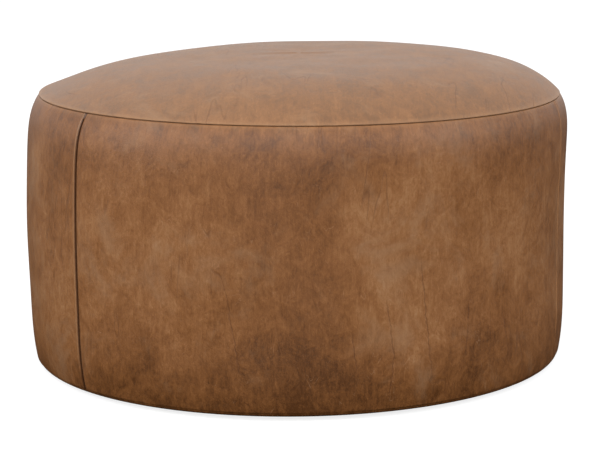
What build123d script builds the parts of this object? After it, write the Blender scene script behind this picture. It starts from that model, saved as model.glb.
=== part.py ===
from build123d import *
import math
import os

# A drum-shaped leather pouf: a zip-off leather cover over a foam core with a plywood base.
# Millimetres, +Z up, the origin on the floor at the middle of the pouf. The front faces -Y.

# ---- outside form -------------------------------------------------------------------
belly_diameter = 762.0       # widest part of the side wall
belly_height = 200.0         # height of the widest part above the floor
wall_radius = 1850.0         # the slow upright curve of the wall
roll_radius = 46.0           # the wall's turn inwards just below the seam
seam_step = 4.92             # how far the roll brings the top seam inside the wall's own curve
seam_height = 378.0
crown_rise = 52.0            # how far the middle of the top stands above the seam
shoulder_radius = 240.0      # the rounder edge of the top
shoulder_slope = 36.0        # degrees, the top's slope where it meets the seam
base_height = 6.0            # underside of the leather above the floor
corner_radius = 12.0         # the turn from the wall to the underside
inner_corner = 2.0           # the same turn on the thick layers inside

# ---- leather cover ------------------------------------------------------------------
leather = 1.6
allowance = 12.0             # leather turned inside along each seam
side_seams = [-139.5, -19.5, 100.5]     # degrees counter-clockwise from +X
hem_width = 19.0             # flat leather turned under the pouf, inside the corner
canvas = 0.8
hem_lap = 12.0               # overlap of the canvas and the leather hem
thread = 0.7

# ---- half-round zip between the hem and the base cloth --------------------------------
zip_gap = 14.0               # width of the open strip that the slider runs in
tape_width = 16.0
tape = 0.6
coil_height = 2.6
coil_width = 2.4
coil_split = 2.0             # clear line between the two coils for the slider's blade
zip_travel = 176.0           # degrees that the slider runs
slider_length = 16.0
slider_width = 12.0
slider_plate = 1.2
slider_play = 0.4
bridge_length = 9.0
bridge_width = 2.4
bridge_bar = 1.2
bridge_room = 1.8            # clear height under the bridge for the pull's cross bar
pull_bar = 1.3
pull_tab = 1.4
pull_width = 7.0
pull_length = 30.0
stop_length = 2.4
stop_width = 1.2
blade_length = 5.3           # the slider's blade, which parts the coils
blade_offset = 4.0           # from the slider's middle to the blade's
pull_corner = 3.4
pull_hang = 0.2              # the cross bar's play under the bridge

# ---- liner, wadding, foam and board -----------------------------------------------------
liner = 0.5
wadding = 12.0
side_foam = 30.0
core_split_height = 200.0    # where the lower and upper core foams are glued together
board_edge = 16.0            # how far the board's edge stays inside the zip, so that it passes
board = 18.0
board_round = 2.0
core_clearance = 0.7         # between the zip slider and the liner above it

# ---- glides ---------------------------------------------------------------------------
glide_count = 6
glide_edge_distance = 35.0   # from the board's edge to the middle of each glide
glide_radius = 17.0
glide_edge = 1.5             # the bevel round each glide
glide_boss_radius = 5.7
eyelet_hole = 6.0
eyelet_wall = 0.6
eyelet_flange = 11.0
eyelet_sheet = 0.5
screw_radius = 2.0
screw_head_radius = 4.2
screw_head_sink = 2.2        # the screw head's face above the floor
screw_length = 25.0
screw_play = 0.3

# ---- worked out from the above ----------------------------------------------------------
fit_gap = 0.8                                    # between the seam allowances and the liner
belly_radius = belly_diameter / 2
top_height = seam_height + crown_rise
liner_inset = 2 * leather + fit_gap
wadding_inset = liner_inset + liner
foam_inset = wadding_inset + wadding
core_radius = belly_radius - foam_inset - side_foam

wall_centre = (belly_radius - wall_radius, belly_height)
wall_reach = math.sqrt(wall_radius**2 - (seam_height - belly_height) ** 2)
seam_radius = wall_centre[0] + wall_reach - seam_step

# The roll below the seam touches the wall's arc from inside and passes through the seam.
seam_reach = math.hypot(seam_radius - wall_centre[0], seam_height - belly_height)
roll_reach = wall_radius - roll_radius
along = (roll_reach**2 - roll_radius**2 + seam_reach**2) / (2 * seam_reach)
aside = math.sqrt(roll_reach**2 - along**2)
seam_turn = math.atan2(seam_height - belly_height, seam_radius - wall_centre[0])
roll_centre = (
    wall_centre[0] + along * math.cos(seam_turn) + aside * math.sin(seam_turn),
    wall_centre[1] + along * math.sin(seam_turn) - aside * math.cos(seam_turn),
)

corner_z = base_height + corner_radius
corner_reach = math.sqrt((wall_radius - corner_radius) ** 2 - (belly_height - corner_z) ** 2)
base_radius = wall_centre[0] + corner_reach      # where the flat underside ends

slope = math.radians(shoulder_slope)
shoulder_centre = (
    seam_radius - shoulder_radius * math.sin(slope),
    seam_height - shoulder_radius * math.cos(slope),
)
shoulder_drop = top_height - shoulder_centre[1]
crown_radius = (shoulder_centre[0] ** 2 + shoulder_drop**2 - shoulder_radius**2) / (
    2 * (shoulder_drop - shoulder_radius)
)
crown_centre = (0.0, top_height - crown_radius)

hem_radius = base_radius - hem_width
canvas_z = base_height + leather
tape_z = canvas_z + canvas
coil_z = tape_z + tape / 2
zip_radius = hem_radius - zip_gap / 2
slider_top = coil_z + coil_height / 2 + slider_play + slider_plate
slider_bottom = coil_z - coil_height / 2 - slider_play - slider_plate
slider_half_angle = math.degrees(slider_length / 2 / zip_radius)
stop_angle = math.degrees(stop_length / zip_radius)
stop_room = math.degrees(slider_play / zip_radius)
zip_start = -slider_half_angle - stop_room - stop_angle
zip_end = zip_travel + slider_half_angle + stop_room + stop_angle
tape_tail = 2.0                                  # degrees of plain tape past each stop
pull_z = slider_bottom - bridge_room + pull_bar / 2 + pull_hang

board_radius = zip_radius - board_edge
glide_circle = board_radius - glide_edge_distance
liner_z = slider_top + core_clearance
board_z = liner_z + liner
board_top = board_z + board


# ---- sections: the radius runs along X and the height along Y, then the section is spun ----
def from_centre(centre, toward, radius):
    """The point at a radius from a centre, in the direction of another point."""
    dx, dz = toward[0] - centre[0], toward[1] - centre[1]
    length = math.hypot(dx, dz)
    return (centre[0] + dx * radius / length, centre[1] + dz * radius / length)


def on_arc(centre, radius, start, end):
    """The point of an arc halfway between its two ends, on the side away from the centre."""
    middle = ((start[0] + end[0]) / 2, (start[1] + end[1]) / 2)
    return from_centre(centre, middle, radius)


def reach(centre, radius, height):
    """How far out an arc stands at a height."""
    return centre[0] + math.sqrt(radius**2 - (height - centre[1]) ** 2)


def drum_section(inset):
    """Half the section below the seam: flat base, round corner, bellied wall and roll, moved inwards."""
    corner = max(corner_radius - inset, inner_corner)
    corner_height = base_height + inset + corner
    corner_centre = (reach(wall_centre, wall_radius - inset - corner, corner_height), corner_height)
    base = (corner_centre[0], base_height + inset)
    turn = from_centre(wall_centre, corner_centre, wall_radius - inset)
    roll = from_centre(wall_centre, roll_centre, wall_radius - inset)
    seam = (reach(roll_centre, roll_radius - inset, seam_height), seam_height)
    outline = [
        Line((0, base[1]), base),
        ThreePointArc(base, on_arc(corner_centre, corner, base, turn), turn),
        ThreePointArc(turn, on_arc(wall_centre, wall_radius - inset, turn, roll), roll),
        ThreePointArc(roll, on_arc(roll_centre, roll_radius - inset, roll, seam), seam),
        Line(seam, (0, seam_height)),
        Line((0, seam_height), (0, base[1])),
    ]
    return make_face(Curve() + outline)


def dome_section(inset):
    """Half the section above the seam: round shoulder and shallow crown, moved inwards."""
    seam = (reach(shoulder_centre, shoulder_radius - inset, seam_height), seam_height)
    turn = from_centre(crown_centre, shoulder_centre, crown_radius - inset)
    apex = (0, top_height - inset)
    outline = [
        Line((0, seam_height), seam),
        ThreePointArc(seam, on_arc(shoulder_centre, shoulder_radius - inset, seam, turn), turn),
        ThreePointArc(turn, on_arc(crown_centre, crown_radius - inset, turn, apex), apex),
        Line(apex, (0, seam_height)),
    ]
    return make_face(Curve() + outline)


def block(r_low, r_high, z_low, z_high):
    """A rectangle of the section between two radii and two heights."""
    middle = Location(((r_low + r_high) / 2, (z_low + z_high) / 2))
    return middle * Rectangle(r_high - r_low, z_high - z_low)


def spin(section, start=0.0, end=360.0):
    """Turns a section about +Z from one angle to another."""
    solid = revolve(Plane.XZ * section, axis=Axis.Z, revolution_arc=end - start)
    return Rot(0, 0, start) * solid


def ring_thread(radius, height, start=0.0, end=360.0):
    """A row of stitching drawn as one round thread on a circle."""
    return spin(Location((radius, height)) * Circle(thread / 2), start, end)


def save(name, shape):
    shape.label = name
    export_step(shape, f"parts/{name}.step")


os.makedirs("parts", exist_ok=True)

# ---- leather cover ------------------------------------------------------------------
allowance_low = seam_height - allowance
top_section = dome_section(0) - dome_section(leather)
top_allowance = (drum_section(leather) - drum_section(2 * leather)) & block(
    core_radius, belly_radius, allowance_low, seam_height
)
save("top_panel", spin(top_section + top_allowance))

side_section = drum_section(0) - drum_section(leather)
side_section -= block(0, hem_radius, 0, seam_height)
lap_section = (drum_section(leather) - drum_section(2 * leather)) & block(
    core_radius, belly_radius, corner_z, allowance_low - fit_gap
)
lap_angle = math.degrees(allowance / belly_radius)
for name, start in zip(["front", "rear_right", "rear_left"], side_seams):
    end = start + 120.0
    panel = spin(side_section, start, end)
    panel += spin(lap_section, start, start + lap_angle)
    panel += spin(lap_section, end - lap_angle, end)
    save(f"side_panel_{name}", panel)

# ---- seam threads, on the inside of the turned-in leather --------------------------------
thread_inset = 2 * leather + thread / 2
thread_z = seam_height - allowance / 2
save(
    "top_seam_thread",
    ring_thread(reach(roll_centre, roll_radius - thread_inset, thread_z), thread_z),
)


def seam_thread(angle):
    """The stitching of one upright seam, along the wall's own curve."""
    radius = wall_radius - thread_inset
    low = (reach(wall_centre, radius, corner_z), corner_z)
    high_z = min(allowance_low - fit_gap, roll_centre[1])
    high = (reach(wall_centre, radius, high_z), high_z)
    path = Plane.XZ * ThreePointArc(low, on_arc(wall_centre, radius, low, high), high)
    line = sweep(Plane(origin=path @ 0, z_dir=path % 0) * Circle(thread / 2), path=path)
    return Rot(0, 0, angle) * line


save("side_seam_threads", Compound(children=[seam_thread(angle) for angle in side_seams]))
save("hem_thread", ring_thread(hem_radius + allowance / 2, base_height - thread / 2))

# ---- base cloth, with the rear half cut back for the zip -----------------------------------
glide_spots = [
    Rot(0, 0, 360 / glide_count * (k + 0.5)) * Pos(glide_circle, 0, 0) for k in range(glide_count)
]
cloth_from = zip_start - tape_tail
cloth_to = zip_end + tape_tail
cloth_radius = hem_radius + hem_lap
base_cloth = spin(block(0, cloth_radius, canvas_z, tape_z))
base_cloth -= spin(
    block(hem_radius - zip_gap, cloth_radius + 1, canvas_z, tape_z), cloth_from, cloth_to
)
eyelet_cut = Pos(0, 0, canvas_z) * extrude(Circle(eyelet_hole + eyelet_wall), canvas)
base_cloth -= [spot * eyelet_cut for spot in glide_spots]
save("base_cloth", base_cloth)
save("zip_facing", spin(block(hem_radius, cloth_radius, canvas_z, tape_z), cloth_from, cloth_to))

# ---- zip --------------------------------------------------------------------------------
coil_inner = coil_split / 2
coil_outer = coil_inner + coil_width
for side, sign in [("outer", 1), ("inner", -1)]:
    tape_edges = sorted([zip_radius + sign * coil_outer, zip_radius + sign * (coil_outer + tape_width)])
    coil_edges = sorted([zip_radius + sign * coil_inner, zip_radius + sign * coil_outer])
    save(f"zip_tape_{side}", spin(block(*tape_edges, tape_z, tape_z + tape), cloth_from, cloth_to))
    coil = block(*coil_edges, coil_z - coil_height / 2, coil_z + coil_height / 2)
    save(f"zip_coil_{side}", spin(coil, zip_start, zip_end))

stop_height = coil_height + slider_play
closed_stops = [
    spin(
        block(
            zip_radius + sign * coil_split - stop_width / 2,
            zip_radius + sign * coil_split + stop_width / 2,
            coil_z - stop_height / 2 - slider_plate,
            coil_z - coil_height / 2,
        ),
        zip_start,
        zip_start + stop_angle,
    )
    for sign in (1, -1)
]
save("zip_top_stops", Compound(children=closed_stops))
open_stop = block(
    zip_radius - coil_outer,
    zip_radius + coil_outer,
    coil_z - stop_height / 2 - slider_plate,
    coil_z - coil_height / 2,
)
save("zip_bottom_stop", spin(open_stop, zip_end - stop_angle, zip_end))
save(
    "zip_thread",
    ring_thread(hem_radius - zip_gap - allowance / 2, canvas_z - thread / 2, cloth_from, cloth_to),
)

slider_plate_shape = extrude(
    SlotOverall(slider_length, slider_width, rotation=90), slider_plate
)
slider = Pos(0, 0, slider_bottom) * slider_plate_shape
slider += Pos(0, 0, slider_top - slider_plate) * slider_plate_shape
blade_room = slider_top - slider_bottom
slider += Pos(0, blade_offset, (slider_top + slider_bottom) / 2) * Box(
    coil_split - 2 * slider_play, blade_length, blade_room
)
rim_width = slider_width / 2 - coil_outer - slider_play
rim_depth = (blade_room - tape) / 2 - slider_play
for sign in (1, -1):
    rim_x = sign * (slider_width / 2 - rim_width / 2)
    rim = Box(rim_width, blade_length, rim_depth)
    slider += Pos(rim_x, 0, slider_bottom + rim_depth / 2) * rim
    slider += Pos(rim_x, 0, slider_top - rim_depth / 2) * rim
bridge_height = bridge_room + bridge_bar
bridge = Box(bridge_width, bridge_length, bridge_height)
bridge -= Pos(0, 0, bridge_bar / 2) * Box(
    bridge_width, bridge_length - 2 * bridge_bar, bridge_room
)
slider += Pos(0, 0, slider_bottom - bridge_height / 2) * bridge
save("zip_slider", Pos(zip_radius, 0, 0) * slider)

# The pull: a tab with a window at its root, whose end bar lies under the bridge.
window_width = bridge_width + 2 * slider_play
window_length = bridge_length / 2 + 2 * slider_play
tab = extrude(RectangleRounded(pull_width, pull_length, pull_corner), pull_tab)
tab = Pos(0, pull_length / 2 - pull_bar / 2, -pull_tab / 2) * tab
window = Pos(0, window_length / 2, 0) * Box(window_width, window_length, 2 * pull_tab)
tab -= window
tab -= Pos(0, -pull_length / 2, 0) * Box(pull_width, pull_length, 2 * pull_tab)
cross_bar = Rot(0, 90, 0) * Cylinder(pull_bar / 2, pull_width)
save("zip_pull", Pos(zip_radius, 0, pull_z) * (tab + cross_bar))

# ---- liner bag ----------------------------------------------------------------------------
screw_cut = Pos(0, 0, liner_z) * extrude(Circle(screw_radius + screw_play), liner)
save("liner_top", spin(dome_section(liner_inset) - dome_section(wadding_inset)))
liner_wall = drum_section(liner_inset) - drum_section(wadding_inset)
liner_wall &= block(0, belly_radius, board_z, seam_height)
save("liner_boxing", spin(liner_wall))
liner_floor = drum_section(liner_inset) & block(0, belly_radius, liner_z, board_z)
save("liner_base", spin(liner_floor) - [spot * screw_cut for spot in glide_spots])

# ---- wadding and foam --------------------------------------------------------------------
save("wadding_top", spin(dome_section(wadding_inset) - dome_section(foam_inset)))
wadding_wall = drum_section(wadding_inset) - drum_section(foam_inset)
wadding_wall &= block(core_radius, belly_radius, board_z, seam_height)
save("wadding_side", spin(wadding_wall))
save("crown_foam", spin(dome_section(foam_inset)))
save("side_foam", spin(drum_section(foam_inset) - block(0, core_radius, 0, seam_height)))
save("core_foam_upper", spin(block(0, core_radius, core_split_height, seam_height)))
lower_foam = block(0, core_radius, board_z, core_split_height)
lower_foam -= block(0, board_radius, board_z, board_top)
save("core_foam_lower", spin(lower_foam))

# ---- board, glides, eyelets and screws -------------------------------------------------------
board_disc = Pos(0, 0, board_z) * extrude(Circle(board_radius), board)
board_disc = fillet(board_disc.edges().filter_by(GeomType.CIRCLE), board_round)
pilot_depth = screw_length + screw_head_sink - board_z
pilot_hole = Pos(0, 0, board_z) * extrude(Circle(screw_radius), pilot_depth)
save("base_board", board_disc - [spot * pilot_hole for spot in glide_spots])

glide_top = canvas_z - eyelet_sheet
head_depth = screw_head_radius - screw_radius
head_top = screw_head_sink + head_depth
bore = screw_radius + screw_play
sink = screw_head_radius + screw_play
glide_outline = Polyline(
    (bore, glide_top),
    (bore, head_top + screw_play),
    (sink, screw_head_sink),
    (sink, 0),
    (glide_radius - glide_edge, 0),
    (glide_radius, glide_edge),
    (glide_radius, glide_top - glide_edge),
    (glide_radius - glide_edge, glide_top),
    (glide_boss_radius, glide_top),
    (glide_boss_radius, liner_z),
    (bore, liner_z),
    (bore, glide_top),
)
glide = spin(make_face(glide_outline))
save("glides", Compound(children=[spot * glide for spot in glide_spots]))

eyelet = block(eyelet_hole, eyelet_flange, glide_top, canvas_z)
eyelet += block(eyelet_hole, eyelet_hole + eyelet_wall, canvas_z, tape_z)
eyelet += block(eyelet_hole, eyelet_flange, tape_z, tape_z + eyelet_sheet)
eyelet = spin(eyelet)
save("base_eyelets", Compound(children=[spot * eyelet for spot in glide_spots]))

screw_outline = Polyline(
    (0, screw_head_sink),
    (screw_head_radius, screw_head_sink),
    (screw_radius, head_top),
    (screw_radius, screw_head_sink + screw_length - screw_radius),
    (0, screw_head_sink + screw_length),
    (0, screw_head_sink),
)
screw = spin(make_face(screw_outline))
save("glide_screws", Compound(children=[spot * screw for spot in glide_spots]))
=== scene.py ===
import math
import bmesh
import bpy
import mathutils
import numpy as np
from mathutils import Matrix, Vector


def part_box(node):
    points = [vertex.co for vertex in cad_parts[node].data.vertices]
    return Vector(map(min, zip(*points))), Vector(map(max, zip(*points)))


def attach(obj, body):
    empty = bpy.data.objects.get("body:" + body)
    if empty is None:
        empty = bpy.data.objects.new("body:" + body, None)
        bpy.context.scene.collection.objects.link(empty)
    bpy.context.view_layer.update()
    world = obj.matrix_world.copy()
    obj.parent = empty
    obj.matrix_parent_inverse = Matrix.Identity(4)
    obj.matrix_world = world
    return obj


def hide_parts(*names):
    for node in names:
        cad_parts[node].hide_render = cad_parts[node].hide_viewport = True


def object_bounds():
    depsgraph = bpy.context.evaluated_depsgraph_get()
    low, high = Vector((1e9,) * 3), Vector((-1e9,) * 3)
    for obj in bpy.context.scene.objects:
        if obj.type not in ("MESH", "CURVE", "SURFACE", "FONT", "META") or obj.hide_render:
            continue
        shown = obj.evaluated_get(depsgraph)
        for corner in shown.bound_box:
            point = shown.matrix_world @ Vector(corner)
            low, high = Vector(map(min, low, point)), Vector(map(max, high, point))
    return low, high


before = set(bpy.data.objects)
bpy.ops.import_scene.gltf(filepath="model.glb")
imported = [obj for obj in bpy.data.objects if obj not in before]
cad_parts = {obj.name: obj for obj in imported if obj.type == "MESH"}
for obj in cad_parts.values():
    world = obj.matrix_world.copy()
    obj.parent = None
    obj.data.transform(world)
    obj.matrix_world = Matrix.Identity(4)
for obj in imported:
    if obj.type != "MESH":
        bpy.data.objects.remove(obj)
cad_low, cad_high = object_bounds()

# ---- Leather side panels ----------------------------------------------------------------
# Three panels of 1.6 mm waxed hide, sewn right sides together, each edge turned in over its seam and
# the allowances laid to the left. Every layer, from the leather to the foam, is the same form drawn
# a little further in, so the layers never cross.
BELLY = (cad_high.x - cad_low.x) / 2
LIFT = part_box("side_panel_front")[0].z
SEAM_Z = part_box("side_panel_front")[1].z
SEAM_RADIUS = 0.9610 * BELLY
TAPER = 0.0072               # how far the wall stands in at the floor
TAPER_HEIGHT = 0.103         # the taper ends this far above the foot
ROLL_FROM = 0.241            # above this height the wall starts to roll in to the seam
LEAN = 0.0078                # the soft top sits a little to one side of the base
FOOT_LEAN = 0.0014           # and so does the foot, a little
SEAM_TILT = 0.0034           # how far the top seam dips at +X and rises at -X
PANEL_SEAMS = [-139.5, -19.5, 100.5]  # degrees


def wall_form(angle, height, inset=0.0):
    """Points of the side wall. The radius is the belly's, less a cubic taper towards the floor and a
    steep power curve that rolls in to the seam. The middle leans to +X towards the top."""
    share = (height - LIFT) / (SEAM_Z - LIFT)
    low = np.clip(1 - (height - LIFT) / TAPER_HEIGHT, 0, 1)
    high = np.clip((height - ROLL_FROM) / (SEAM_Z - ROLL_FROM), 0, 1.2)
    radius = BELLY - TAPER * low**3.1 - (BELLY - SEAM_RADIUS) * high**6.5 - inset
    shift = LEAN * np.clip((share - 0.45) / 0.55, 0, 1) ** 2
    shift = shift + FOOT_LEAN * np.clip(1 - share / 0.6, 0, 1) ** 2
    settle = -SEAM_TILT * np.cos(angle) * np.clip(share, 0, 1) ** 3
    return np.stack([radius * np.cos(angle) + shift, radius * np.sin(angle), height + settle], -1)


def mesh_piece(name, verts, faces):
    """A new smooth piece from its corners and faces."""
    mesh = bpy.data.meshes.new(name)
    mesh.from_pydata(verts.tolist(), [], faces)
    mesh.polygons.foreach_set("use_smooth", np.ones(len(mesh.polygons), bool))
    piece = bpy.data.objects.new(name, mesh)
    bpy.context.scene.collection.objects.link(piece)
    return piece


def surface(name, points, wrap=False, pole=False, flat=None, paint=None):
    """A mesh from a grid of points (rows, columns, 3). Wrap joins the last column to the first, and
    pole closes the first row to its middle. Flat is each point's place on the flat hide, in metres,
    kept as a UV map. Paint holds further values of each point, kept as attributes."""
    rows, columns = points.shape[:2]
    number = np.arange(rows * columns).reshape(rows, columns)
    if wrap:
        number = np.concatenate([number, number[:, :1]], 1)
    corners = [number[:-1, :-1], number[:-1, 1:], number[1:, 1:], number[1:, :-1]]
    quads = np.stack(corners, -1).reshape(-1, 4)
    verts = points.reshape(-1, 3)
    faces = quads.tolist()
    if pole:
        middle = len(verts)
        verts = np.vstack([verts, points[0].mean(0)])
        rim = number[0]
        faces += np.stack([np.full(len(rim) - 1, middle), rim[1:], rim[:-1]], -1).tolist()
    piece = mesh_piece(name, verts, faces)
    mesh = piece.data
    loops = np.zeros(len(mesh.loops), int)
    mesh.loops.foreach_get("vertex_index", loops)
    if flat is not None:
        place = flat.reshape(-1, 2)
        if pole:
            place = np.vstack([place, flat[0].mean(0)])
        mesh.uv_layers.new(name="hide").data.foreach_set("uv", place[loops].astype(np.float32).ravel())
    for key, value in (paint or {}).items():
        value = value.ravel()
        if pole:
            value = np.append(value, value[:columns].mean())
        layer = mesh.attributes.new(key, "FLOAT", "POINT")
        layer.data.foreach_set("value", value.astype(np.float32))
    mesh.update()
    return piece


# Waxed aniline cowhide in saddle tan. The dyeing is cloudy, the hide keeps its growth marks and fine
# upright stretch lines, and the wax lightens where the leather is rubbed or pulled over a seam.
# Painted shade darkens its seam grooves, wrinkles, foot, the band under the top seam and the whole top,
# and a painted sheen greys the top.
class Wire:
    """One socket of a material. Plus, minus and times each add a Math node."""

    def __init__(self, finish, socket):
        self.finish, self.socket = finish, socket

    def math(self, operation, a, b):
        return self.finish.node("ShaderNodeMath", {"operation": operation}, {0: a, 1: b})

    def __add__(self, other):
        return self.math("ADD", self, other)

    def __sub__(self, other):
        return self.math("SUBTRACT", self, other)

    def __rsub__(self, other):
        return self.math("SUBTRACT", other, self)

    def __mul__(self, other):
        return self.math("MULTIPLY", self, other)

    __radd__ = __add__
    __rmul__ = __mul__


class Finish:
    """A material with one main shader. node() adds any node and returns one of its outputs."""

    def __init__(self, name, **constants):
        self.material = bpy.data.materials.new(name)
        self.material.use_nodes = True
        self.tree = self.material.node_tree
        self.shader = self.tree.nodes["Principled BSDF"]
        for key, value in constants.items():
            self.shader.inputs[key.replace("_", " ")].default_value = value

    def node(self, kind, settings=None, sockets=None, output=0):
        """A node of that kind: its settings first, ramp stops among them, then its sockets."""
        made = self.tree.nodes.new(kind)
        for key, value in (settings or {}).items():
            if key == "stops":
                while len(made.color_ramp.elements) < len(value):
                    made.color_ramp.elements.new(0.5)
                for element, (place, colour) in zip(made.color_ramp.elements, value):
                    element.position = place
                    element.color = (*colour, 1)
            else:
                setattr(made, key, value)
        for key, value in (sockets or {}).items():
            if isinstance(value, Wire):
                self.tree.links.new(value.socket, made.inputs[key])
            else:
                made.inputs[key].default_value = value
        return Wire(self, made.outputs[output])

    def paint(self, key, value):
        """Feeds one of the main shader's inputs."""
        self.tree.links.new(value.socket, self.shader.inputs[key])

    def ramp(self, value, *stops):
        return self.node("ShaderNodeValToRGB", {"stops": stops}, {"Fac": value})

    def step(self, value, low, high):
        """0 below low, 1 above high, and a smooth rise between them."""
        settings = {"interpolation_type": "SMOOTHSTEP"}
        sockets = {"Value": value, "From Min": low, "From Max": high}
        return self.node("ShaderNodeMapRange", settings, sockets)

    def noise(self, place, scale, detail=4.0, rough=0.6, distort=0.0, stretch=(1, 1, 1), move=(0, 0, 0)):
        """Fractal noise of that scale per metre, on a place that is stretched and moved first."""
        mapped = self.node("ShaderNodeMapping", None, {"Vector": place, "Scale": stretch, "Location": move})
        sockets = {"Vector": mapped, "Scale": scale, "Detail": detail, "Roughness": rough, "Distortion": distort}
        return self.node("ShaderNodeTexNoise", None, sockets)

    def mix(self, factor, a, b, blend="MIX"):
        """Two colours mixed."""
        settings = {"data_type": "RGBA", "blend_type": blend}
        return self.node("ShaderNodeMix", settings, {0: factor, 6: a, 7: b}, output=2)

    def bump(self, height, strength, distance, normal=None):
        sockets = {"Height": height, "Strength": strength, "Distance": distance}
        if normal is not None:
            sockets["Normal"] = normal
        return self.node("ShaderNodeBump", None, sockets)


def leather_finish(name, seed, wrinkles=(), busy=1.0, painted_sheen=0.0):
    """The tan leather. Its tone is the mesh's cloudy dyeing and its painted shade, plus fractal clouds and
    upright streaks, as strong as busy says, and the last argument is how far a painted sheen greys it all over.
    Wrinkles are (foot, head, width) lines on the flat hide, sunk, and darkened by painted shade."""
    f = Finish(name, Specular_IOR_Level=0.45)
    hide = f.node("ShaderNodeUVMap", {"uv_map": "hide"})
    across = f.node("ShaderNodeSeparateXYZ", None, {0: hide}, 0)
    upward = f.node("ShaderNodeSeparateXYZ", None, {0: hide}, 1)
    hide = f.node("ShaderNodeVectorMath", {"operation": "ADD"}, {0: hide, 1: (0, 0, seed)})
    # per point: cloudy dyeing with painted shade, rubbed wax, and painted shade in the seams
    dye = f.node("ShaderNodeAttribute", {"attribute_name": "dye"}, output=2)
    rub = f.node("ShaderNodeAttribute", {"attribute_name": "rub"}, output=2)
    crease = f.node("ShaderNodeAttribute", {"attribute_name": "crease"}, output=2)

    clouds = f.noise(hide, 8.0, 8.0, 0.78, 0.3)
    patches = f.noise(hide, 30.0, 8.0, 0.80, 0.8, stretch=(1.1, 0.9, 1))
    streaks = f.noise(hide, 85.0, 5.0, 0.78, 0.0, stretch=(2.6, 0.40, 1), move=(3, 7, 0))
    crumple = f.noise(hide, 170.0, 4.0, 0.70, 1.2, stretch=(1.3, 0.75, 1), move=(6, 2, 0))
    tone = (clouds - 0.5) * 0.65 + (patches - 0.5) * 1.25 + (streaks - 0.5) * 0.60
    tone = 0.5 + (tone + (crumple - 0.5) * 0.62) * busy + dye * 0.26

    # growth marks: thin wandering lines where a stretched noise crosses its middle value
    vein = f.noise(hide, 9.0, 3.0, 0.55, 0.4, stretch=(1.7, 0.30, 1), move=(11, 2, 0)) - 0.5
    vein = 1 - f.step(f.node("ShaderNodeMath", {"operation": "ABSOLUTE"}, {0: vein}), 0.0, 0.012)
    vein = vein * f.step(f.noise(hide, 7.0, 2.0, 0.5, move=(5, 5, 0)), 0.50, 0.62)

    # pale scratches: short thin lines at several slants
    scratch = f.noise(hide, 30.0, 1.0, 0.5, 2.0, stretch=(1.5, 0.6, 1), move=(2, 9, 0)) - 0.5
    scratch = 1 - f.step(f.node("ShaderNodeMath", {"operation": "ABSOLUTE"}, {0: scratch}), 0.0, 0.010)
    scratch = scratch * f.step(f.noise(hide, 45.0, 2.0, 0.5, move=(8, 1, 0)), 0.56, 0.66)

    # fat wrinkles: each wanders a little about a straight line from its foot to its head
    waver = f.noise(hide, 55.0, 3.0, 0.6, move=(0, 13, 0)) - 0.5
    fold = None
    for foot, head, width in wrinkles:
        share = (upward - foot[1]) * (1 / (head[1] - foot[1]))
        away = across - foot[0] - share * (head[0] - foot[0]) + waver * 0.010
        away = f.node("ShaderNodeMath", {"operation": "ABSOLUTE"}, {0: away})
        line = (1 - f.step(away, 0.0, width)) * f.step(share, 0.0, 0.25) * (1 - f.step(share, 0.7, 1.0))
        fold = line if fold is None else fold + line

    colour = f.ramp(
        tone,
        (0.02, (0.100, 0.034, 0.0070)),
        (0.32, (0.195, 0.072, 0.0175)),
        (0.54, (0.258, 0.103, 0.0300)),
        (0.74, (0.322, 0.145, 0.0520)),
        (0.94, (0.385, 0.200, 0.0920)),
    )
    grey = f.noise(hide, 12.0, 6.0, 0.7, 0.5, move=(1, 4, 0)) + dye * 0.06
    # grey clouds of wax bloom, and on the top an even grey that is painted sheen
    colour = f.mix(f.step(grey, 0.48, 0.70) * 0.45 + painted_sheen, colour, (0.300, 0.165, 0.084, 1))
    colour = f.mix(rub * 0.50, colour, (0.440, 0.235, 0.110, 1))
    colour = f.mix(vein * 0.38, colour, (0.105, 0.036, 0.010, 1))
    # painted shade in the seam grooves and down the turned-in allowances
    colour = f.mix(crease * 0.85, colour, (0.060, 0.020, 0.006, 1))
    colour = f.mix(scratch * 0.30, colour, (0.480, 0.270, 0.140, 1))
    # painted shade along the fat wrinkles, which the bump also sinks
    if fold is not None:
        colour = f.mix(fold * 0.45, colour, (0.100, 0.034, 0.010, 1))
    f.paint("Base Color", colour)

    wax = 0.45 + (clouds - 0.5) * 0.24 + (patches - 0.5) * 0.16 + (crumple - 0.5) * 0.10 - rub * 0.05
    f.paint("Roughness", wax)

    pores = f.node("ShaderNodeTexVoronoi", {"feature": "DISTANCE_TO_EDGE"}, {"Vector": hide, "Scale": 720.0})
    cells = f.node("ShaderNodeTexVoronoi", {"feature": "DISTANCE_TO_EDGE"}, {"Vector": hide, "Scale": 310.0})
    grain = f.step(pores, 0.0, 0.25) * 0.6 + f.step(cells, 0.0, 0.16) * 0.5
    grain = grain + f.noise(hide, 1500.0, 2.0, 0.6) * 0.35
    normal = f.bump(grain, 0.28, 0.00025)
    soft = patches * 0.5 + streaks * 0.5 + crumple * 0.35 - vein * 0.35 - scratch * 0.15
    if fold is not None:
        soft = soft - fold * 0.5
    normal = f.bump(soft, 0.45, 0.0016, normal)
    f.paint("Normal", normal)
    return f.material


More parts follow.
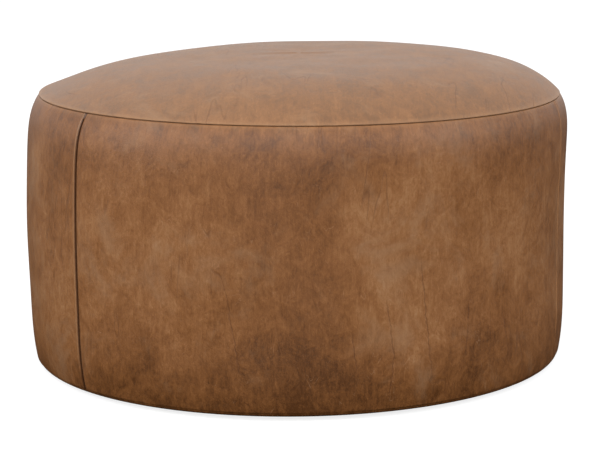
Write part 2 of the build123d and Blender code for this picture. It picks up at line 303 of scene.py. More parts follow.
LEATHER = 0.0016
CORNER = 0.0060              # the round where the wall turns under
CLOTH_RADIUS = (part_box("base_cloth")[1].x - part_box("base_cloth")[0].x) / 2
HEM_RADIUS = CLOTH_RADIUS - 0.012
HEM_FOLD = 0.42              # the share of the allowance's depth that is left at the thinned hem
LIP = 0.0013                 # the round of an upright edge where it turns in to its seam
TOP_LIP = 0.0011             # the same at the top seam
ALLOWANCE_DEPTH = 0.0034     # how far in the folded seam allowance shows
RIDGE = 0.0010               # both allowances lie to the left and lift that panel's edge
GROOVE = 0.0018              # the right-hand panel's edge is drawn in beside it
FOOT_SHADE = 1.35            # painted shade: how much darker the leather is made towards the floor
FOOT_SHADE_TOP = 0.125
HEAD_SHADE = 0.75            # and the painted shade towards the top seam
HEAD_SHADE_FROM = 0.25
DYE_CLOUDS = [
    # angle, height, half width in degrees, half height, tone
    (-128, 0.300, 9, 0.070, 0.55),
    (-118, 0.130, 11, 0.070, -0.10),
    (-104, 0.330, 12, 0.050, 0.45),
    (-109, 0.230, 9, 0.060, 0.15),
    (-98, 0.085, 8, 0.045, -0.55),
    (-97, 0.255, 6, 0.075, -0.55),
    (-88, 0.150, 8, 0.110, -0.85),
    (-82, 0.330, 6, 0.040, -0.25),
    (-84, 0.060, 12, 0.045, -0.55),
    (-72, 0.240, 7, 0.120, 0.55),
    (-64, 0.320, 9, 0.055, 0.85),
    (-66, 0.100, 7, 0.050, 0.60),
    (-50, 0.330, 7, 0.045, 0.05),
    (-50, 0.100, 12, 0.070, -0.45),
    (-118, 0.065, 7, 0.040, -0.35),
    (-30, 0.120, 7, 0.090, 0.15),
    (-42, 0.220, 8, 0.070, 0.25),
    (-33, 0.330, 8, 0.060, 0.05),
    (-146, 0.220, 7, 0.120, -0.05),
    (-90, 0.200, 40, 0.070, 0.12),
]
# Each wrinkle: angle in degrees and height at its foot, the same at its head, and its half width.
FAT_WRINKLES = {
    "front": [
        ((-62.8, 0.030), (-65.8, 0.225), 0.0016),
        ((-71.0, 0.070), (-72.8, 0.165), 0.0014),
        ((-72.2, 0.020), (-71.2, 0.090), 0.0013),
        ((-78.6, 0.060), (-79.6, 0.120), 0.0013),
        ((-101.0, 0.060), (-103.4, 0.165), 0.0016),
        ((-55.2, 0.060), (-54.0, 0.150), 0.0012),
    ],
    "rear_right": [((21, 0.08), (24, 0.22), 0.0015), ((63, 0.05), (61, 0.18), 0.0014)],
    "rear_left": [((150, 0.12), (153, 0.30), 0.0015), ((196, 0.04), (194.5, 0.16), 0.0014)],
}


def clouds_at(angle, height, clouds):
    """Soft dye clouds added up: each is a bell curve in angle and in height."""
    total = np.zeros(np.broadcast(angle, height).shape)
    for centre, level, wide, tall, tone in clouds:
        away = (np.degrees(angle) - centre + 180) % 360 - 180
        total += tone * np.exp(-((away / wide) ** 2) - ((height - level) / tall) ** 2)
    return total


def undulation(angle, height):
    """The slow waves of leather over foam: a few sine waves that go round and up the wall."""
    wave = 0.9 * np.sin(5 * angle + 9 * height + 0.6) * np.sin(11 * height + 0.4)
    wave += 0.6 * np.sin(11 * angle - 14 * height + 2.1) * np.sin(17 * height + 1.0)
    wave += 0.35 * np.sin(23 * angle + 21 * height + 4.0) * np.sin(8 * height)
    return 0.0009 * wave


def finish(piece, material):
    """Gives a leather piece its thickness, inwards, its material, and hangs it under the pouf's body."""
    shell = piece.modifiers.new("hide thickness", "SOLIDIFY")
    shell.thickness = LEATHER
    shell.offset = -1
    piece.data.materials.append(material)
    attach(piece, "pouf")


rng = np.random.default_rng(7)
back_clouds = [
    (angle, level, wide, tall, tone)
    for angle, level, wide, tall, tone in zip(
        rng.uniform(-15, 205, 30),
        rng.uniform(0.03, 0.36, 30),
        rng.uniform(5, 13, 30),
        rng.uniform(0.03, 0.10, 30),
        rng.uniform(-0.9, 0.9, 30),
    )
]


def spaced(start, stop, count, ease=0.0):
    """Even steps from start to stop, drawn closer together near both ends as ease nears 1."""
    t = np.linspace(0, 1, count)
    return start + (stop - start) * (t - ease * np.sin(2 * math.pi * t) / (2 * math.pi))


def side_panel(name, start, end):
    """One side panel. Its section runs from the hem's edge, out under the pouf, round the corner, up
    the wall and over the top seam's lip. Across the panel, each upright edge is a quarter round that
    turns in by its lip and goes on inwards as the seam allowance."""
    first, last = math.radians(start), math.radians(end)
    lip_angle = LIP / BELLY
    turn = np.linspace(0, math.pi / 2, 6)[1:-1]
    middle = spaced(first + lip_angle, last - lip_angle, 330, 0.75)
    round_in = lip_angle * (1 - np.cos(turn))
    angles = np.concatenate([[first] * 3, first + round_in, middle, (last - round_in)[::-1], [last] * 3])
    edge = LIP * (1 - np.sin(turn))
    deep = [ALLOWANCE_DEPTH, (ALLOWANCE_DEPTH + LIP) / 2, LIP]
    sunk = np.concatenate([deep, edge, np.zeros(330), edge[::-1], deep[::-1]])
    from_edge = np.minimum(angles - first, last - angles) * BELLY
    from_right = (last - angles) * BELLY

    base_edge = BELLY - TAPER - CORNER
    flat_r = np.linspace(HEM_RADIUS, base_edge, 9)[:-1]
    curve = np.linspace(0, math.pi / 2, 10)[:-1]
    under = np.concatenate([flat_r, base_edge + CORNER * np.sin(curve)])
    lip_turn = np.linspace(0, math.pi, 11)[1:]
    heights = np.concatenate([
        np.full(8, LIFT),
        LIFT + CORNER * (1 - np.cos(curve)),
        spaced(LIFT + CORNER, SEAM_Z - TOP_LIP, 178, 0.5),
        SEAM_Z - TOP_LIP + TOP_LIP * np.sin(lip_turn),
        [SEAM_Z - TOP_LIP - 0.004, SEAM_Z - TOP_LIP - 0.008],
    ])
    inward = np.concatenate([np.zeros(17 + 178), TOP_LIP * (1 - np.cos(lip_turn)), [2 * TOP_LIP] * 2])
    grid_angle, grid_z = np.meshgrid(angles, heights)
    grid_in = inward[:, None] + sunk[None]

    ridge = RIDGE * np.exp(-(((from_right - 0.0022) / 0.0016) ** 2))
    ridge = ridge[None] * np.clip((grid_z - 0.02) / 0.05, 0, 1)
    dip = GROOVE * np.exp(-(((angles - first) * BELLY / 0.0030) ** 2))[None]
    calm = np.clip(from_edge / 0.03, 0, 1)[None] * np.clip((SEAM_Z - grid_z) / 0.04, 0, 1)
    relief = undulation(grid_angle, grid_z) * calm + ridge - dip
    points = wall_form(grid_angle, np.minimum(grid_z, SEAM_Z), grid_in - relief)
    # Below the wall, the flat hem has a true round edge, and the allowance turns up instead of in.
    low = slice(0, len(under))
    facing = np.concatenate([np.zeros(8), curve])[:, None]
    fold = sunk[None] * (HEM_FOLD + (1 - HEM_FOLD) * np.sin(facing))
    radius = under[:, None] - fold * np.sin(facing)
    shift = FOOT_LEAN * np.clip((under[:, None] - HEM_RADIUS) / (base_edge - HEM_RADIUS), 0, 1)
    points[low, :, 0] = radius * np.cos(grid_angle[low]) + shift
    points[low, :, 1] = radius * np.sin(grid_angle[low])
    points[low, :, 2] += fold * np.cos(facing)

    reach = np.concatenate([under, np.full(len(heights) - len(under), under[-1])])
    steps = np.hypot(np.diff(reach), np.diff(heights))
    along = np.concatenate([[0], np.cumsum(steps)])
    along += heights[len(under)] - along[len(under)]
    flat = np.stack([grid_angle * BELLY, np.broadcast_to(along[:, None], grid_z.shape)], -1)
    rub = ridge / RIDGE * 0.9
    rub = np.maximum(rub, 0.45 * np.exp(-(((SEAM_Z - grid_z) / 0.0035) ** 2)))
    rub = rub * np.clip((grid_z - 0.01) / 0.03, 0, 1)
    # painted shade in the upright seam grooves and on the top lip where it turns in
    groove_shade = np.exp(-((from_edge / 0.0010) ** 2)) + np.exp(-(((angles - first) * BELLY / 0.0028) ** 2))
    groove_shade = groove_shade[None] + (inward[:, None] > 0.9 * TOP_LIP) * 0.7
    dye = clouds_at(grid_angle, grid_z, DYE_CLOUDS + back_clouds)
    # painted shade: the wall is made darker towards the floor and towards the top seam
    dye -= (
        FOOT_SHADE * np.clip(1 - grid_z / FOOT_SHADE_TOP, 0, 1) ** 1.2
        + HEAD_SHADE * np.clip((grid_z - HEAD_SHADE_FROM) / 0.09, 0, 1)
    )
    paint = {"dye": dye, "rub": np.clip(rub, 0, 1), "crease": np.clip(groove_shade, 0, 1)}
    return surface(name, points, flat=flat, paint=paint)


for number, side in enumerate(["front", "rear_right", "rear_left"]):
    first = PANEL_SEAMS[number]
    panel = side_panel(f"leather_side_{side}", first, first + 120)
    lines = [
        [(math.radians(angle) * BELLY, height) for angle, height in (foot, head)] + [width]
        for foot, head, width in FAT_WRINKLES[side]
    ]
    finish(panel, leather_finish(f"leather_side_{side}", 1.7 * number, lines))
    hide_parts(f"side_panel_{side}")

# ---- Leather top ---------------------------------------------------------------------------
# One round of the same hide, stretched over the crown foam, its edge turned down inside the seam.
CROWN = cad_high.z - SEAM_Z
FULLER = 0.0009              # the leather's crown over the CAD one's, before its lift at the seam
CROWN_TILT = 0.0044          # the crown is a little higher at +X


def dome_form(angle, spread, inset=0.0):
    """Points of the domed top. Spread is 0 in the middle and 1 at the seam, and the height falls off
    with a power of it, near 4.25, with a little of its 16th power mixed in at +X, where the shoulder
    is fuller."""
    radius = spread * (SEAM_RADIUS - inset)
    full = 0.12 * (1 + np.cos(angle))
    rise = 1 - (1 - full) * spread ** (4.25 + 0.45 * np.cos(angle)) - full * spread**16
    across = radius * np.cos(angle)
    height = SEAM_Z + (CROWN + FULLER) * rise + CROWN_TILT * rise * across / BELLY
    height = height - SEAM_TILT * np.cos(angle) * spread**2 - inset
    return np.stack([across + LEAN, radius * np.sin(angle), height], -1)


def top_panel():
    """The top: rings from the middle out to the seam, where the leather turns under through a small
    round and goes down inside as the allowance. Slow sine waves loosen the dome."""
    angles = np.linspace(2 * math.pi, 0, 420, endpoint=False)
    spread = np.concatenate([np.linspace(0.012, 0.90, 84), np.linspace(0.90, 1.0, 24)[1:]])
    slope = math.atan(5.0 * CROWN / SEAM_RADIUS)
    swing = np.linspace(slope, math.pi, 9)[1:]
    out = np.concatenate([spread * 0, TOP_LIP * (np.sin(swing) - math.sin(slope)), [-0.0012, -0.0012]])
    down = np.concatenate([spread * 0, TOP_LIP * (math.cos(slope) - np.cos(swing)), [0.0060, 0.0100]])
    lift = (TOP_LIP * (1 + math.cos(slope)) + 0.0001) * np.clip((spread - 0.9) / 0.1, 0, 1) ** 2
    lift = np.concatenate([lift, np.full(10, lift[-1])]) - down
    grid_angle, grid_spread = np.meshgrid(angles, np.concatenate([spread, np.ones(10)]))
    points = dome_form(grid_angle, grid_spread)
    points[..., 0] += (out[:, None] - 0.0003) * np.cos(grid_angle)
    points[..., 1] += (out[:, None] - 0.0003) * np.sin(grid_angle)
    wave = 0.0006 * np.sin(3 * grid_angle + 9 * grid_spread) * np.sin(7 * grid_spread + 1.2)
    wave += 0.0004 * np.sin(7 * grid_angle - 12 * grid_spread + 2) * np.sin(13 * grid_spread)
    points[..., 2] += lift[:, None] + wave * (1 - grid_spread**6)
    reach = np.concatenate([spread, 1 + np.linspace(0.002, 0.03, 10)])[:, None] * SEAM_RADIUS
    flat = np.stack([reach * np.cos(grid_angle), reach * np.sin(grid_angle)], -1)
    rub = np.exp(-(((grid_spread - 1) * SEAM_RADIUS / 0.0035) ** 2)) * 0.5
    # painted shade: the top's leather is made darker all over than the wall's
    dye = -0.75 + 0.10 * np.sin(7 * flat[..., 0] + 1) * np.sin(9 * flat[..., 1] + 2)
    # painted shade down the allowance that turns into the seam
    fold = np.broadcast_to(np.concatenate([spread * 0, np.linspace(0.1, 1, 10)])[:, None], dye.shape)
    return surface("leather_top", points, True, True, flat, {"dye": dye, "rub": rub, "crease": fold})


top = top_panel()
# the top: a painted sheen greys its leather all over
finish(top, leather_finish("leather_top", 9.1, busy=1.5, painted_sheen=0.45))
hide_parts("top_panel")

# ---- Seam threads ------------------------------------------------------------------------
# Bonded polyester, 0.7 mm. The seams are sewn inside out, so their stitches lie on the turned-in
# leather and hardly show; the hem's stitches are the only ones in view, under the pouf.
THREAD = 0.00035


def stitch_row(name, spots, along, out, length):
    """A row of short stitches, each a fat curved grain: its radius is a half ellipse along its length,
    and its ends dip into the leather by a parabola."""
    share = np.array([-0.5, -0.36, 0.0, 0.36, 0.5])
    thick = THREAD * np.array([0.35, 0.9, 1.0, 0.9, 0.35])
    ring = np.linspace(0, 2 * math.pi, 6, endpoint=False)
    side = np.cross(along, out)
    middle = spots[:, None] + along[:, None] * (share * length)[:, None]
    middle = middle - out[:, None] * (THREAD * 5.0 * share**2)[:, None]
    turn = np.cos(ring)[:, None] * out[:, None, None] + np.sin(ring)[:, None] * side[:, None, None]
    verts = (middle[:, :, None] + turn * thick[:, None, None]).reshape(-1, 3)
    row, col = np.meshgrid(np.arange(4), np.arange(6), indexing="ij")
    ahead = (col + 1) % 6
    quads = np.stack([row * 6 + col, row * 6 + ahead, row * 6 + 6 + ahead, row * 6 + 6 + col], -1)
    quads = (quads.reshape(1, -1, 4) + np.arange(len(spots))[:, None, None] * 30).reshape(-1, 4)
    caps = np.stack([np.arange(6)[::-1], 24 + np.arange(6)])
    caps = (caps[None] + np.arange(len(spots))[:, None, None] * 30).reshape(-1, 6)
    piece = mesh_piece(name, verts, quads.tolist() + caps.tolist())
    piece.data.materials.append(thread_material)
    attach(piece, "pouf")
    return piece


f = Finish("thread", Specular_IOR_Level=0.4)
place = f.node("ShaderNodeTexCoord", output=3)
bands = {"wave_type": "BANDS", "bands_direction": "DIAGONAL"}
twist = f.node("ShaderNodeTexWave", bands, {"Vector": place, "Scale": 900.0})
f.paint("Base Color", f.mix(twist, (0.075, 0.030, 0.012, 1), (0.150, 0.062, 0.026, 1)))
f.paint("Roughness", 0.48 + twist * 0.15)
f.paint("Normal", f.bump(twist, 0.5, 0.0002))
thread_material = f.material


def ring_of(radius, height, first, last, pitch):
    """Points round a level circle, one for each stitch, with the direction along it and outwards."""
    count = int(math.radians(last - first) * radius / pitch)
    angle = np.radians(np.linspace(first, last, count, endpoint=False))
    spots = np.stack([radius * np.cos(angle), radius * np.sin(angle), height + 0 * angle], -1)
    along = np.stack([-np.sin(angle), np.cos(angle), 0 * angle], -1)
    return spots, along, np.stack([np.cos(angle), np.sin(angle), 0 * angle], -1), angle


spots, along, outward, angle = ring_of(HEM_RADIUS + 0.006, LIFT, 0, 360, 0.0042)
spots[:, 0] += FOOT_LEAN
hem_stitches = stitch_row("hem_stitches", spots, along, np.zeros_like(along) - [0, 0, 1], 0.0032)
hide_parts("hem_thread")

spots, along, outward, angle = ring_of(SEAM_RADIUS, SEAM_Z - 0.0060, 0, 360, 0.0040)
spots = wall_form(angle, np.full(len(angle), SEAM_Z - 0.0060), 0.0042)
top_stitches = stitch_row("top_seam_stitches", spots, along, outward, 0.0031)
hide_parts("top_seam_thread")

rise = np.arange(0.022, 0.366, 0.0040)
seam_angle = np.repeat(np.radians(PANEL_SEAMS), len(rise))
spots = wall_form(seam_angle, np.tile(rise, 3), 0.0042)
outward = np.stack([np.cos(seam_angle), np.sin(seam_angle), 0 * seam_angle], -1)
side_stitches = stitch_row("side_seam_stitches", spots, np.zeros_like(spots) + [0, 0, 1], outward, 0.0031)
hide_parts("side_seam_threads")

# ---- Liner bag, wadding and foam -----------------------------------------------------------
# A calico bag, 12 mm of polyester wadding, a softer crown and side foam, and two blocks of firm foam
# glued one on the other. Each layer fills the form of the one outside it.
LINER_IN = 0.0056
CALICO = 0.0005
WADDING_IN = LINER_IN + CALICO + 0.0002
WADDING = 0.0115
FOAM_IN = WADDING_IN + WADDING + 0.0003
CORE_RADIUS = (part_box("core_foam_upper")[1].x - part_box("core_foam_upper")[0].x) / 2
BOARD_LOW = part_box("base_board")[0].z
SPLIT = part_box("core_foam_upper")[0].z


def cloth_like(name, dark, pale, scale, depth, rough):
    """A matt material: fine cells and soft clouds on object coordinates, for cloth and foam."""
    f = Finish(name, Specular_IOR_Level=0.2)
    place = f.node("ShaderNodeTexCoord", output=3)
    cell = f.node("ShaderNodeTexVoronoi", {"feature": "F1"}, {"Vector": place, "Scale": scale})
    cloud = f.noise(place, 14.0, 5.0, 0.6)
    f.paint("Base Color", f.mix(cell * 0.7 + cloud * 0.5, dark, pale))
    f.paint("Roughness", rough + (cloud - 0.5) * 0.2)
    f.paint("Normal", f.bump(cell, 0.6, depth))
    return f.material


def layer(node, name, rows, material, slot, closed):
    """A closed layer spun from rows of points. A tube joins its last row to its first; a solid cap
    closes both its end rows to the middle."""
    grid = np.stack(rows)
    rows_count, columns = grid.shape[:2]
    number = np.arange(rows_count * columns).reshape(rows_count, columns)
    number = np.concatenate([number, number[:, :1]], 1)
    if closed:
        number = np.concatenate([number, number[:1]], 0)
    quads = [number[:-1, :-1], number[:-1, 1:], number[1:, 1:], number[1:, :-1]]
    faces = np.stack(quads, -1).reshape(-1, 4).tolist()
    verts = grid.reshape(-1, 3)
    if not closed:
        total = len(verts)
        verts = np.vstack([verts, grid[0].mean(0), grid[-1].mean(0)])
        first, last = number[0], number[-1]
        faces += np.stack([np.full(columns, total), first[1:], first[:-1]], -1).tolist()
        faces += np.stack([np.full(columns, total + 1), last[:-1], last[1:]], -1).tolist()
    piece = mesh_piece(name, verts, faces)
    piece.data.materials.append(material)
    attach(piece, "pouf")
    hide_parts(node)
    return piece


turns = np.linspace(2 * math.pi, 0, 120, endpoint=False)
climb = np.linspace(0.0, 1.0, 26)
spreads = np.linspace(0.03, 1.0, 24)


def wall_rows(low, inset):
    """Rings up the wall, from a height to just under the seam."""
    top = SEAM_Z - 0.0015 - inset
    return [wall_form(turns, np.full(120, low + (top - low) * share), inset) for share in climb]


def dome_rows(inset, reach=1.0):
    """Rings over the dome, from its middle out to the seam."""
    return [dome_form(turns, np.full(120, share * reach), inset) for share in spreads]


def disc_rows(radius, low, high, bevel=0.003):
    """Rings of a round block with slightly rounded edges."""
    place = [(radius - bevel, low), (radius, low + bevel), (radius, high - bevel), (radius - bevel, high)]
    ring = np.stack([np.cos(turns), np.sin(turns), 0 * turns], -1)
    return [ring * [r, r, 0] + [0, 0, z] for r, z in place]


calico = cloth_like("calico", (0.50, 0.46, 0.38, 1), (0.66, 0.62, 0.53, 1), 900.0, 0.0002, 0.85)
fluff = cloth_like("wadding", (0.72, 0.73, 0.74, 1), (0.88, 0.88, 0.88, 1), 260.0, 0.0015, 0.95)
soft = cloth_like("soft foam", (0.74, 0.68, 0.50, 1), (0.86, 0.82, 0.66, 1), 700.0, 0.0006, 0.9)
firm = cloth_like("firm foam", (0.46, 0.55, 0.62, 1), (0.60, 0.69, 0.75, 1), 800.0, 0.0006, 0.9)

rows = dome_rows(LINER_IN) + dome_rows(LINER_IN + CALICO)[::-1]
piece = layer("liner_top", "liner_cap", rows, calico, "calico", False)
floor_in = BOARD_LOW
rows = wall_rows(floor_in, LINER_IN)[::-1] + wall_rows(floor_in, LINER_IN + CALICO)
piece = layer("liner_boxing", "liner_wall", rows, calico, "calico", True)
rows = dome_rows(WADDING_IN) + dome_rows(WADDING_IN + WADDING, 0.98)[::-1]
piece = layer("wadding_top", "wadding_cap", rows, fluff, "wadding", False)
rows = wall_rows(floor_in, WADDING_IN)[::-1] + wall_rows(floor_in, WADDING_IN + WADDING)
piece = layer("wadding_side", "wadding_wall", rows, fluff, "wadding", True)
rows = dome_rows(FOAM_IN)
rows = rows + [rows[-1] * [1, 1, 0] + [0, 0, SEAM_Z - FOAM_IN - 0.0045]]
rows = rows + [rows[-1] * [0.5, 0.5, 1]]
piece = layer("crown_foam", "foam_crown", rows, soft, "soft_foam", False)
outer = wall_rows(floor_in, FOAM_IN)
outer = [ring * [1, 1, 0] + [0, 0, min(ring[0, 2], SEAM_Z - FOAM_IN - 0.006)] for ring in outer]
ring = np.stack([np.cos(turns), np.sin(turns), 0 * turns], -1) * (CORE_RADIUS + 0.0005)
inner = [ring + [0, 0, outer[0][0, 2]], ring + [0, 0, outer[-1][0, 2]]]
piece = layer("side_foam", "foam_side", outer[::-1] + inner, soft, "soft_foam", True)
rows = disc_rows(CORE_RADIUS, SPLIT, SEAM_Z - FOAM_IN - 0.006)[::-1]
piece = layer("core_foam_upper", "foam_core_upper", rows, firm, "firm_foam", False)
BOARD_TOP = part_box("base_board")[1].z
BOARD_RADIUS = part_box("base_board")[1].x
low_rows = disc_rows(CORE_RADIUS, BOARD_LOW + 0.0002, SPLIT)
cut = disc_rows(BOARD_RADIUS + 0.0004, BOARD_LOW + 0.0002, BOARD_TOP + 0.0004, 0.0)
rows = low_rows[::-1] + [cut[1], cut[2]]
piece = layer("core_foam_lower", "foam_core_lower", rows, firm, "firm_foam", False)

# ---- Liner base, board and its fixings ----------------------------------------------------------
# The calico base lies under an 18 mm plywood disc. Six nylon glides are screwed through brass
# eyelets in the base cloth into the board.
rim = wall_form(turns, np.full(120, BOARD_LOW), LINER_IN)
low_z, high_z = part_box("liner_base")[0].z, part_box("liner_base")[1].z
rows = [rim * [share, share, 0] + [0, 0, high_z] for share in (0.05, 0.5, 1.0)]
rows += [rim * [share, share, 0] + [0, 0, low_z] for share in (1.0, 0.5, 0.05)]
piece = layer("liner_base", "liner_bottom", rows, calico, "calico", False)

f = Finish("plywood", Specular_IOR_Level=0.35)
place = f.node("ShaderNodeTexCoord", output=3)
grain = f.noise(place, 30.0, 8.0, 0.7, 0.6, stretch=(0.25, 4.0, 4.0))
ply = f.node("ShaderNodeTexWave", {"bands_direction": "Z"}, {"Vector": place, "Scale": 90.0})
wood = f.ramp(grain, (0.3, (0.42, 0.26, 0.13)), (0.5, (0.60, 0.42, 0.23)), (0.7, (0.70, 0.54, 0.33)))
f.paint("Base Color", f.mix(ply * 0.35, wood, (0.36, 0.21, 0.10, 1)))
f.paint("Roughness", 0.55 + grain * 0.2)
f.paint("Normal", f.bump(grain, 0.3, 0.0004))
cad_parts["base_board"].data.materials.clear()
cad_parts["base_board"].data.materials.append(f.material)


def metal(name, colour, rough):
    """A turned or pressed metal: fine scratches vary its roughness, and a patina its colour."""
    f = Finish(name, Metallic=1.0)
    place = f.node("ShaderNodeTexCoord", output=3)
    smear = f.noise(place, 220.0, 5.0, 0.6)
    scratches = f.noise(place, 1400.0, 3.0, 0.6, stretch=(1.0, 0.12, 1.0))
    dull = tuple(0.55 * part for part in colour) + (1,)
    f.paint("Base Color", f.mix(f.step(smear, 0.52, 0.75) * 0.7, (*colour, 1), dull))
    f.paint("Roughness", rough + (scratches - 0.5) * 0.25 + (smear - 0.5) * 0.2)
    f.paint("Normal", f.bump(scratches, 0.15, 0.0001))
    return f.material


brass = metal("antique brass", (0.58, 0.40, 0.17), 0.36)
zinc = metal("zinc screw", (0.62, 0.63, 0.64), 0.34)
f = Finish("nylon", Specular_IOR_Level=0.5)
place = f.node("ShaderNodeTexCoord", output=3)
haze = f.noise(place, 400.0, 4.0, 0.6)
f.paint("Base Color", f.mix(haze, (0.030, 0.022, 0.017, 1), (0.055, 0.042, 0.034, 1)))
f.paint("Roughness", 0.42 + (haze - 0.5) * 0.3)
f.paint("Normal", f.bump(haze, 0.25, 0.0002))
nylon = f.material
for node, material in (
    ("base_eyelets", brass),
    ("zip_slider", brass),
    ("zip_pull", brass),
    ("zip_top_stops", brass),
    ("zip_bottom_stop", brass),
    ("glide_screws", zinc),
    ("glides", nylon),
):
    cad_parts[node].data.materials.clear()
    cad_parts[node].data.materials.append(material)

# ---- Base cloth -------------------------------------------------------------------------------
# Brown cotton canvas, 0.8 mm, stretched over the underside and sewn to the leather hem. Its rear
# half is cut back for the zip, and a facing strip finishes the hem there.
CANVAS = 0.0008
CLOTH_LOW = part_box("base_cloth")[0].z
ZIP_RADIUS = (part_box("zip_coil_outer")[1].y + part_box("zip_coil_inner")[1].y) / 2 - 0.0012
ZIP_FIRST = -3.85            # degrees
ZIP_LAST = 179.85
GLIDE_CIRCLE = 0.28297       # the six glides stand on it, the first at 30 degrees


def woven(name, dark, pale, pitch, slant=0.0):
    """Plain weave on object coordinates: warp and weft are sine waves, and the higher one shows."""
    f = Finish(name, Specular_IOR_Level=0.25)
    place = f.node("ShaderNodeTexCoord", output=3)
    turned = f.node("ShaderNodeMapping", None, {"Vector": place, "Rotation": (0, 0, slant)})
    x = f.node("ShaderNodeSeparateXYZ", None, {0: turned}, 0)
    y = f.node("ShaderNodeSeparateXYZ", None, {0: turned}, 1)
    warp = f.node("ShaderNodeMath", {"operation": "SINE"}, {0: x * (math.pi / pitch)})
    weft = f.node("ShaderNodeMath", {"operation": "SINE"}, {0: y * (math.pi / pitch)})
    over = warp * weft * 0.5 + 0.5
    slub = f.noise(place, 300.0, 4.0, 0.65)
    f.paint("Base Color", f.mix(over * 0.6 + slub * 0.5, dark, pale))
    f.paint("Roughness", 0.82 + (slub - 0.5) * 0.2)
    f.paint("Normal", f.bump(over + slub * 0.4, 0.6, 0.0003))
    return f.material


canvas = woven("canvas", (0.060, 0.040, 0.028, 1), (0.135, 0.098, 0.070, 1), 0.00075)
tape_cloth = woven("zip tape", (0.045, 0.028, 0.018, 1), (0.100, 0.066, 0.044, 1), 0.0005, 0.785)


def flat_cloth(name, node, inner, outer, low, thickness, first, last, columns, material, slot, holes=False):
    """A level strip or disc of cloth between two radii, which may vary round it, with slow ripples a
    fraction of a millimetre deep. Holes are left where the glides' eyelets go through."""
    angle = np.radians(np.linspace(first, last, columns, endpoint=last - first < 359))
    share = np.linspace(0, 1, 60 if holes else 6)[:, None]
    radius = inner + (outer - inner) * share
    grid = np.broadcast_to(angle, (len(share), columns))
    radius = np.broadcast_to(radius, grid.shape)
    ripple = 0.00012 * np.sin(40 * grid + 60 * radius) * np.sin(90 * radius)
    shape = [radius * np.cos(grid), radius * np.sin(grid), low + 0 * grid + ripple]
    flat = np.stack([radius * np.cos(grid), radius * np.sin(grid)], -1)
    wrap = last - first > 359
    piece = surface(name, np.stack(shape, -1), wrap, holes, flat)
    if holes:
        mesh = piece.data
        centres = np.zeros(len(mesh.polygons) * 3)
        mesh.polygons.foreach_get("center", centres)
        centres = centres.reshape(-1, 3)
        spots = np.radians(np.arange(6) * 60 + 30)
        away = np.hypot(
            centres[:, :1] - GLIDE_CIRCLE * np.cos(spots), centres[:, 1:2] - GLIDE_CIRCLE * np.sin(spots)
        ).min(1)
        work = bmesh.new()
        work.from_mesh(mesh)
        work.faces.ensure_lookup_table()
        gone = [work.faces[number] for number in np.flatnonzero(away < 0.0078).tolist()]
        bmesh.ops.delete(work, geom=gone, context="FACES")
        work.to_mesh(mesh)
        work.free()
    shell = piece.modifiers.new("cloth thickness", "SOLIDIFY")
    shell.thickness = thickness
    shell.offset = -1
    piece.data.materials.append(material)
    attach(piece, "pouf")
    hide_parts(node)
    return piece


columns = 420
around = np.linspace(0, 360, columns, endpoint=False)
behind = (around > ZIP_LAST) & (around < 360 + ZIP_FIRST)
cloth_edge = np.where(behind, CLOTH_RADIUS, HEM_RADIUS - 0.014)[None]
piece = flat_cloth(
    "canvas_base", "base_cloth", 0.004, cloth_edge, CLOTH_LOW, CANVAS, 0, 360, columns, canvas, "canvas", True
)
piece = flat_cloth(
    "canvas_facing", "zip_facing", HEM_RADIUS, CLOTH_RADIUS,
    CLOTH_LOW, CANVAS, ZIP_FIRST, ZIP_LAST, 240, canvas, "canvas",
)
strip = math.radians(ZIP_LAST - ZIP_FIRST) * (HEM_RADIUS + CLOTH_RADIUS) / 2

# ---- Half-round zip --------------------------------------------------------------------------------
# A nylon coil zip, so that the cover comes off for cleaning. Each tape is sewn under the canvas
# edge, and each coil is one filament wound into 0.6 mm loops along its tape.
TAPE = 0.0006
TAPE_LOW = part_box("zip_tape_outer")[0].z
for side, sign in (("outer", 1), ("inner", -1)):
    edges = sorted([ZIP_RADIUS + sign * 0.0034, ZIP_RADIUS + sign * 0.0194])
    piece = flat_cloth(
        f"tape_{side}", f"zip_tape_{side}", *edges,
        TAPE_LOW, TAPE, ZIP_FIRST, ZIP_LAST, 240, tape_cloth, "zip_tape",
    )
    strip = math.radians(ZIP_LAST - ZIP_FIRST) * sum(edges) / 2

COIL_PITCH = 0.0015
COIL_FIRST = -1.55           # degrees
COIL_SPAN = 176.0 + 3.2
FILAMENT = 0.0003            # radius
COIL_Z = (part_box("zip_coil_outer")[0].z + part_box("zip_coil_outer")[1].z) / 2


def coil(name, node, sign, phase):
    """One zip coil: a filament of 0.6 mm wound as an elliptical helix along the zip's arc."""
    length = math.radians(COIL_SPAN) * ZIP_RADIUS
    loops = int(length / COIL_PITCH)
    steps = loops * 9
    t = np.linspace(0, 1, steps)
    bend = np.radians(COIL_FIRST) + t * length / ZIP_RADIUS
    spin = 2 * math.pi * (loops * t + phase)
    reach = ZIP_RADIUS + sign * (0.00175 + 0.00135 * np.cos(spin))
    path = np.stack([reach * np.cos(bend), reach * np.sin(bend), COIL_Z + 0.00098 * np.sin(spin)], -1)
    ahead = np.gradient(path, axis=0)
    ahead /= np.linalg.norm(ahead, axis=1, keepdims=True)
    axis = np.stack([-np.sin(bend), np.cos(bend), 0 * bend], -1)
    side = np.cross(ahead, axis)
    side /= np.linalg.norm(side, axis=1, keepdims=True)
    other = np.cross(ahead, side)
    ring = np.linspace(0, 2 * math.pi, 5, endpoint=False)
    around = np.cos(ring)[:, None] * side[:, None] + np.sin(ring)[:, None] * other[:, None]
    tube = path[:, None] + FILAMENT * around
    layer(node, name, tube, nylon_coil, "zip_coil", False)


f = Finish("zip coil", Specular_IOR_Level=0.5)
place = f.node("ShaderNodeTexCoord", output=3)
shade = f.noise(place, 500.0, 3.0, 0.6)
f.paint("Base Color", f.mix(shade, (0.040, 0.024, 0.015, 1), (0.075, 0.047, 0.030, 1)))
f.paint("Roughness", 0.32 + shade * 0.15)
nylon_coil = f.material
coil("coil_outer", "zip_coil_outer", 1, 0.0)
coil("coil_inner", "zip_coil_inner", -1, 0.5)

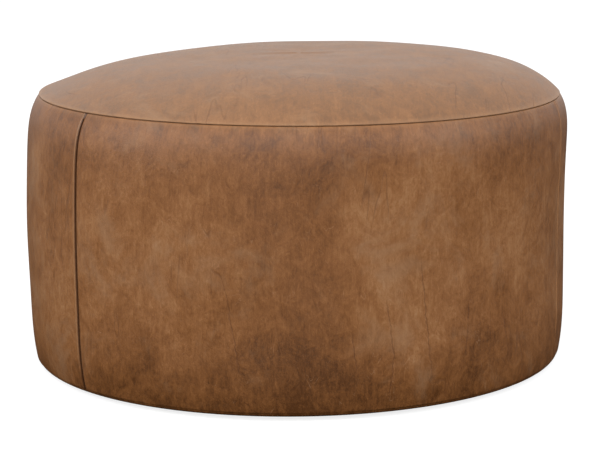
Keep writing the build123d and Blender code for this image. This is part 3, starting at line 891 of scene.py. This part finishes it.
spots, along, outward, angle = ring_of(HEM_RADIUS - 0.020, CLOTH_LOW, ZIP_FIRST, ZIP_LAST, 0.0042)
zip_stitches = stitch_row("zip_stitches", spots, along, np.zeros_like(along) - [0, 0, 1], 0.0032)
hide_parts("zip_thread")

# ---- Studio ----------------------------------------------------------------------------------
# A pale floor that glows a little, three soft boxes above and in front, a weak panel behind, and a
# plain grey-white surround that is dark below the horizon, so nothing lights it from underneath.
floor_mesh = bpy.data.meshes.new("floor")
floor_mesh.from_pydata([(-14, -14, 0), (14, -14, 0), (14, 14, 0), (-14, 14, 0)], [], [(0, 1, 2, 3)])
floor = bpy.data.objects.new("floor", floor_mesh)
bpy.context.scene.collection.objects.link(floor)
floor_finish = Finish("floor", Roughness=1.0, Base_Color=(0.34, 0.34, 0.34, 1), Specular_IOR_Level=0.0)
floor_finish.shader.inputs["Emission Color"].default_value = (1, 1, 1, 1)
floor_finish.shader.inputs["Emission Strength"].default_value = 0.80
floor.data.materials.append(floor_finish.material)
floor.visible_diffuse = False
floor.visible_glossy = False

world = bpy.data.worlds.new("studio")
bpy.context.scene.world = world
world.use_nodes = True
sky = world.node_tree
direction = sky.nodes.new("ShaderNodeTexCoord")
split = sky.nodes.new("ShaderNodeSeparateXYZ")
sky.links.new(direction.outputs["Generated"], split.inputs[0])
level = sky.nodes.new("ShaderNodeValToRGB")
level.color_ramp.elements[0].position = 0.0
level.color_ramp.elements[0].color = (0.02, 0.02, 0.02, 1)
level.color_ramp.elements[1].position = 1.0
level.color_ramp.elements[1].color = (0.74, 0.74, 0.74, 1)
for place, glow in ((0.44, 0.02), (0.53, 0.95), (0.62, 0.88), (0.80, 0.82)):
    level.color_ramp.elements.new(place).color = (glow, glow, glow, 1)
half = sky.nodes.new("ShaderNodeMath")
half.operation = "MULTIPLY_ADD"
half.inputs[1].default_value = 0.5
half.inputs[2].default_value = 0.5
sky.links.new(split.outputs["Z"], half.inputs[0])
sky.links.new(half.outputs[0], level.inputs["Fac"])
sky.links.new(level.outputs["Color"], sky.nodes["Background"].inputs["Strength"])
sky.nodes["Background"].inputs["Color"].default_value = (1.0, 1.0, 1.0, 1)


def soft_box(name, place, aim, size, power):
    """A square area lamp at a place, turned to face a point."""
    lamp = bpy.data.lights.new(name, "AREA")
    lamp.shape = "SQUARE"
    lamp.size = size
    lamp.energy = power
    holder = bpy.data.objects.new(name, lamp)
    holder.location = place
    toward = mathutils.Vector(aim) - mathutils.Vector(place)
    holder.rotation_mode = "QUATERNION"
    holder.rotation_quaternion = toward.to_track_quat("-Z", "Y")
    bpy.context.scene.collection.objects.link(holder)


soft_box("front box", (-0.30, -3.00, 1.95), (0, 0, 0.25), 2.0, 43)
soft_box("left box", (-3.00, -1.30, 1.95), (0, 0, 0.25), 2.0, 48)
soft_box("right box", (2.90, -1.50, 1.95), (0, 0, 0.25), 2.0, 40)
soft_box("rear panel", (0.0, 3.50, 0.95), (0, 0, 0.40), 3.4, 5)

# The camera stands a little above the pouf, in front of it, with a long lens.
camera_data = bpy.data.cameras.new("camera")
camera_data.sensor_width = 36.0
camera_data.lens = 121.68
camera = bpy.data.objects.new("camera", camera_data)
pitch, yaw, roll = math.radians(11.06), math.radians(0.13), math.radians(-0.64)
forward = np.array([math.sin(yaw) * math.cos(pitch), math.cos(yaw) * math.cos(pitch), -math.sin(pitch)])
right = np.array([math.cos(yaw), -math.sin(yaw), 0.0])
upward = np.cross(right, forward)
tilted_right = right * math.cos(roll) + upward * math.sin(roll)
tilted_up = upward * math.cos(roll) - right * math.sin(roll)
turn = np.stack([tilted_right, tilted_up, -forward], 1)
camera.matrix_world = mathutils.Matrix([
    [*turn[0], 0.0],
    [*turn[1], -7.5 * BELLY],
    [*turn[2], LIFT + 1.909 * BELLY],
    [0, 0, 0, 1],
])
bpy.context.scene.collection.objects.link(camera)
bpy.context.scene.camera = camera
bpy.context.scene.view_settings.view_transform = "Standard"
